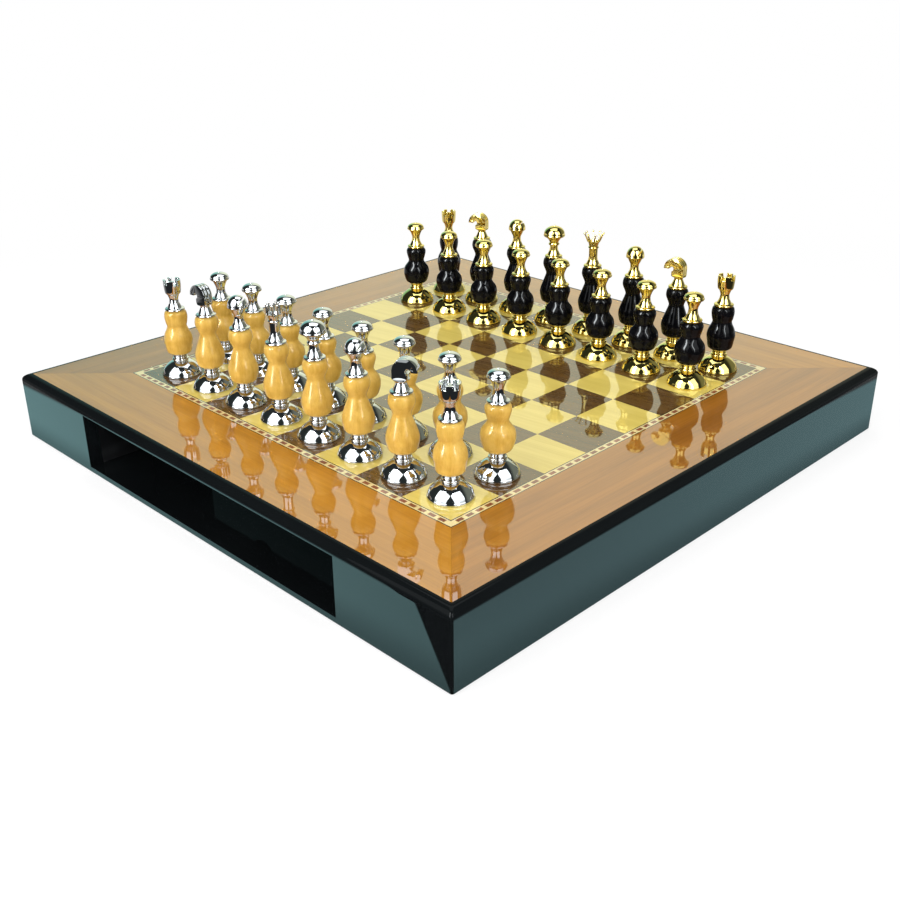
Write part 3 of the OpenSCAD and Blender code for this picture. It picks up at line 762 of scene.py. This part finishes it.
def black_body():
    made, tree = material("black_body")
    place = object_place(tree)
    skin = use_group(tree, lacquer_skin, {"Vector": place, "Ripple": 0.03})
    grain = use_group(tree, wood_grain, {"Vector": place, "Spacing": 0.004})
    black = mixed(tree, grain["Figure"], (0.0015, 0.0016, 0.002), (0.004, 0.004, 0.005))
    finish_material(
        tree,
        {
            "Base Color": black,
            "Roughness": ramp(tree, skin["Marks"], 0.3, 0.4),
            "Specular IOR Level": 0.0,
            "Coat Weight": 1.0,
            "Coat IOR": 1.24,
            "Coat Roughness": 0.02,
            "Normal": skin["Normal"],
            "Coat Normal": skin["Normal"],
        },
    )
    return made


BODY_WOOD = {"silver": honey_body(), "gold": black_body()}


# ---- Metal heads ----
# Every head is cast and turned from the same brass as the base, from a collar and a slim neck up
# to the sign of its rank, then plated and polished.
collar_r, collar_h, collar_edge_r, stem_r, stem_z = 7.1, 1.2, 0.8, 3.2, 8.6


def stem(r=stem_r, z=stem_z):
    """Collar and bell, up to the neck's narrowest place."""
    bell = [
        (collar_r - 1.9, collar_h + 1.2), (r + 1.5, collar_h + 2.4),
        (r + 0.5, collar_h + 4.6), (r, z),
    ]
    rim = arc(collar_r - collar_edge_r, collar_h, collar_edge_r, -60, 80)
    return [(0, 0), (crown_r, 0)] + rim + through(bell)


def dome(r, low, high, steps=14):
    angles = [math.pi / 2 * i / steps for i in range(steps)]
    return [(r * math.cos(a), low + (high - low) * math.sin(a)) for a in angles] + [(0, high)]


def pipped_dome(r, low, high, pip_r):
    """A dome with a small round pip on its middle."""
    pip = arc(0, high - 0.1 * pip_r, pip_r, 0, 90)
    return [point for point in dome(r, low, high) if point[0] > pip_r] + pip


def pick(piece):
    """Leaves the piece the only one selected, and the active one."""
    bpy.ops.object.select_all(action="DESELECT")
    bpy.context.view_layer.objects.active = piece
    piece.select_set(True)


def cut(piece, cutter, operation="DIFFERENCE"):
    """Applies a boolean of the cutter to the piece, and removes the cutter."""
    pick(piece)
    step = piece.modifiers.new("cut", "BOOLEAN")
    step.operation, step.object, step.solver = operation, cutter, "EXACT"
    bpy.ops.object.modifier_apply(modifier="cut")
    bpy.data.objects.remove(cutter)


def block(name, size, place, rotation=(0, 0, 0)):
    bpy.ops.object.select_all(action="DESELECT")
    scale, location = ([value * MM for value in values] for values in (size, place))
    bpy.ops.mesh.primitive_cube_add(size=1, scale=scale, location=location, rotation=rotation)
    return new_object(name)


def rod(name, r, length, place, vertices=64):
    """A round bar that lies along Y."""
    bpy.ops.object.select_all(action="DESELECT")
    bpy.ops.mesh.primitive_cylinder_add(
        vertices=vertices,
        radius=r * MM,
        depth=length * MM,
        location=[value * MM for value in place],
        rotation=(math.pi / 2, 0, 0),
    )
    return new_object(name)


def ease(piece, width):
    """Softens the piece's arrises with an applied bevel, as plating and polishing do."""
    pick(piece)
    step = piece.modifiers.new("ease", "BEVEL")
    step.width, step.segments = width * MM, 2
    step.limit_method, step.angle_limit = "ANGLE", math.radians(35)
    bpy.ops.object.modifier_apply(modifier="ease")
    smooth(38)


def join(pieces):
    bpy.ops.object.select_all(action="DESELECT")
    for piece in pieces:
        piece.select_set(True)
    bpy.context.view_layer.objects.active = pieces[0]
    bpy.ops.object.join()
    return bpy.context.object


# The pawn's cap: a flared neck under a round rim and a low dome with a pip.
cap_r, rim_z, edge_r, cap_top, cap_pip_r = 7.2, 16.6, 0.9, 21.2, 0.5
flare = [(stem_r + 0.2, stem_z + 1.8), (stem_r + 1.3, rim_z - 3.4), (cap_r - 1.6, rim_z - 1.3)]
pawn_model = turn(
    "pawn_model",
    stem()
    + through(flare)
    + arc(cap_r - edge_r, rim_z, edge_r, -50, 50, 8)
    + pipped_dome(cap_r - 0.4 * edge_r, rim_z + 0.9 * edge_r, cap_top, cap_pip_r),
)

# The rook's turret, hollow at the top, with five gaps sawn through its wall.
turret_r, turret_top, turret_z, hollow_d = 6.2, 22.9, 12.1, 4.2
gaps, gap_w, gap_off = 5, 2.9, 5.5
rook_model = turn(
    "rook_model",
    stem()
    + through([(stem_r + 0.2, turret_z - 2.4), (stem_r + 0.9, turret_z - 0.5)], 4)
    + through(
        [
            (turret_r - 2, turret_z), (turret_r - 0.9, turret_z + 1),
            (turret_r - 0.4, turret_z + 2.6), (turret_r, turret_top - 3.8),
        ]
    )
    + [
        (turret_r, turret_top), (turret_r - 1.7, turret_top),
        (turret_r - 2, turret_top - hollow_d), (0, turret_top - hollow_d),
    ],
    steps=60,
)
for i in range(gaps):
    angle = 2 * math.pi * (i + 0.5) / gaps - math.pi / 4
    middle = (gap_off * math.cos(angle), gap_off * math.sin(angle), turret_top - 1)
    cut(rook_model, block("gap", (5, gap_w, 4), middle, (0, 0, angle)))
ease(rook_model, 0.15)

# The knight: a slab with a round, grooved mane and a blunt muzzle, standing on the stem's plate.
mane_r, mane_rise, head_t, throat_l, stem_top = 7.8, 5.0, 6.8, 9.4, 9.6
groove_w, groove_d, groove_low = 0.9, 0.7, stem_top + 1.2
notch_r, eye_r, eye_d, eye_x, eye_rise = 1.9, 0.9, 0.6, 12.4, 7
plate_r = throat_l / 2 + 0.7
mane_z = stem_top + mane_rise
back = -throat_l / 2
knight_head = rod("knight_head", mane_r, head_t, (back + mane_r, 0, mane_z), 96)
cut(knight_head, block("under_mane", (40, 20, 20), (0, 0, mane_z - 10.2)))
throat_h = mane_rise + 1
throat = block("throat", (throat_l, head_t, throat_h), (0, 0, stem_top + throat_h / 2))
cut(knight_head, throat, "UNION")
cut(knight_head, rod("notch", notch_r, 20, (throat_l / 2 + 0.4, 0, mane_z)))
for side in (-1, 1):
    y = side * head_t / 5
    groove_size = (mane_r + 2, groove_w, 2 * mane_r)
    groove = block("groove", groove_size, (back + mane_r / 2, y, groove_low + mane_r))
    cut(groove, rod("core", mane_r - groove_d, 3, (back + mane_r, y, mane_z), 96))
    cut(groove, block("front", (20, 3, 10), (back + groove_d + 10, y, mane_z - 5)))
    cut(knight_head, groove)
    eye_place = (back + eye_x, side * head_t / 2, stem_top + eye_rise)
    cut(knight_head, rod("eye", eye_r, eye_d, eye_place, 24))
ease(knight_head, 0.22)
flare = [
    (stem_r + 0.1, stem_z - 0.8), (stem_r + 0.5, stem_top - 1.1), (plate_r - 0.3, stem_top - 0.6)
]
plate = [(plate_r, stem_top - 0.4), (plate_r, stem_top), (0, stem_top)]
knight_stem = turn("knight_model", stem(stem_r, stem_z - 1.4) + through(flare, 4) + plate)
knight_model = join([knight_stem, knight_head])

# The bishop's pointed mitre, with one sloping slot sawn into it.
mitre_r, mitre_z, mitre_edge_r, mitre_top = 7.0, 16.3, 0.9, 24.1
slot_tilt, slot_w = math.radians(48), 1.3
flare = [(stem_r + 0.2, stem_z + 2), (stem_r + 1.2, mitre_z - 3.8), (mitre_r - 1.5, mitre_z - 1.3)]
bishop_model = turn(
    "bishop_model",
    stem()
    + through(flare)
    + arc(mitre_r - mitre_edge_r, mitre_z, mitre_edge_r, -50, 20)
    + dome(mitre_r - 0.1 * mitre_edge_r, mitre_z + 0.5 * mitre_edge_r, mitre_top),
)
slot_z = mitre_z + (mitre_top - mitre_z) * math.sin(slot_tilt)
slot_mouth = (mitre_r * math.cos(slot_tilt), 0, slot_z)
cut(bishop_model, block("slot", (10, 20, slot_w), slot_mouth, (0, -slot_tilt, 0)))
ease(bishop_model, 0.12)

# The queen's open crown: eight tapered prongs with ball tips, brazed into a small ringed cup. Those
# of the chrome queen stand up straighter than those of the gold one.
ring_r, ring_z, cup_r, cup_z = 4.2, 15.9, 4.9, 20.8
prongs, tip_z, prong_root_r, prong_tip_r, ball_r = 8, 26.8, 0.7, 0.42, 0.85
silver_spread_r, gold_spread_r = 4.6, 7.4


def crown(name, spread_r):
    cup = turn(
        name,
        stem(stem_r + 0.2, stem_z)
        + through([(stem_r + 0.2, ring_z - 6), (stem_r + 0.3, ring_z - 0.9)], 4)
        + arc(ring_r - 0.5, ring_z, 0.5, -70, 70)
        + through([(stem_r + 0.3, ring_z + 0.8), (cup_r - 0.8, cup_z - 1.6), (cup_r, cup_z)])
        + [(cup_r - 1.2, cup_z), (cup_r - 2, cup_z - 1.6), (0, cup_z - 1.8)],
    )
    pieces = [cup]
    root_r, root_z = cup_r - 0.6, cup_z - 0.5
    lean = math.atan2(spread_r - root_r, tip_z - root_z)
    prong_l = math.hypot(spread_r - root_r, tip_z - root_z)
    for i in range(prongs):
        spoke = Matrix.Rotation(2 * math.pi * i / prongs, 4, "Z")
        spoke = spoke @ Matrix.Translation((root_r * MM, 0, root_z * MM))
        spoke = spoke @ Matrix.Rotation(lean, 4, "Y")
        bpy.ops.object.select_all(action="DESELECT")
        bpy.ops.mesh.primitive_cone_add(
            vertices=16, radius1=prong_root_r * MM, radius2=prong_tip_r * MM, depth=prong_l * MM
        )
        bpy.context.object.matrix_world = spoke @ Matrix.Translation((0, 0, prong_l / 2 * MM))
        pieces.append(new_object("prong"))
        bpy.ops.object.select_all(action="DESELECT")
        bpy.ops.mesh.primitive_uv_sphere_add(segments=16, ring_count=10, radius=ball_r * MM)
        bpy.context.object.matrix_world = spoke @ Matrix.Translation((0, 0, prong_l * MM))
        pieces.append(new_object("ball"))
    made = join(pieces)
    smooth(38)
    return made


# The king's wide dome with a round rim and a pip, over a flared neck with a bead.
dome_r, dome_rim_z, dome_edge_r, dome_top, dome_pip_r = 8.7, 18.4, 1.2, 25.7, 0.9
king_bead_r, king_bead_z = 4.4, 11.2
flare = [
    (stem_r + 0.3, king_bead_z + 1.3), (stem_r + 1.5, dome_rim_z - 3.6),
    (dome_r - 1.8, dome_rim_z - 1.4),
]
king_model = turn(
    "king_model",
    stem()
    + [(stem_r, king_bead_z - 1.2)]
    + arc(king_bead_r - 0.9, king_bead_z, 0.9, -75, 75, 8)
    + through(flare)
    + arc(dome_r - dome_edge_r, dome_rim_z, dome_edge_r, -50, 40, 8)
    + pipped_dome(
        dome_r - 0.25 * dome_edge_r, dome_rim_z + 0.8 * dome_edge_r, dome_top, dome_pip_r
    ),
)


# ---- Setting out the men ----
# Each man is glued up from base, body and head and stands in the middle of its square, turned as
# it was put down.
HEADS = {
    "pawn": pawn_model, "rook": rook_model, "knight": knight_model, "bishop": bishop_model,
    "king": king_model, "silver_queen": crown("silver_queen_model", silver_spread_r),
    "gold_queen": crown("gold_queen_model", gold_spread_r),
}
TURNS = {
    "silver_knight_b": 185, "silver_bishop_c": 45, "silver_queen_d": 45, "silver_king_e": 45,
    "silver_bishop_f": 45, "silver_knight_g": 30, "gold_knight_b": 200, "gold_bishop_c": 15,
    "gold_king_d": 45, "gold_queen_e": 45, "gold_bishop_f": 40, "gold_knight_g": 190,
}
seat_gap = 0.04


def set_out(model, name, place, angle, finish, man):
    pick(model)
    bpy.ops.object.duplicate()
    piece = bpy.context.object
    piece.location = place
    piece.rotation_euler = Euler((0, 0, math.radians(angle)))
    piece = new_object(name)
    piece.data.materials.clear()
    piece.data.materials.append(finish)
    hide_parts(man)
    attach(piece, man)


for man in sorted(name for name in nodes if name.split("_")[0] in PLATING):
    metal, kind, _ = man.split("_")
    low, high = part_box(man)
    foot = Vector(((low.x + high.x) / 2, (low.y + high.y) / 2, low.z))
    size = kind if kind in BODIES else "tall"
    angle = TURNS.get(man, 0)
    wood_z = Vector((0, 0, (base_h + seat_gap) * MM))
    head_z = Vector((0, 0, (base_h + BODIES[size][0] + 2 * seat_gap) * MM))
    set_out(base_model, man + "_base", foot, angle, PLATING[metal], man)
    set_out(body_models[size], man + "_body", foot + wood_z, angle, BODY_WOOD[metal], man)
    head = HEADS[kind] if kind in HEADS else HEADS[metal + "_" + kind]
    set_out(head, man + "_head", foot + head_z, angle, PLATING[metal], man)
for model in (base_model, *body_models.values(), *HEADS.values()):
    bpy.data.objects.remove(model)

boxes = {"cad": cad_box, "visual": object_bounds()}
boxes = {name: [[float(v) for v in corner] for corner in box] for name, box in boxes.items()}
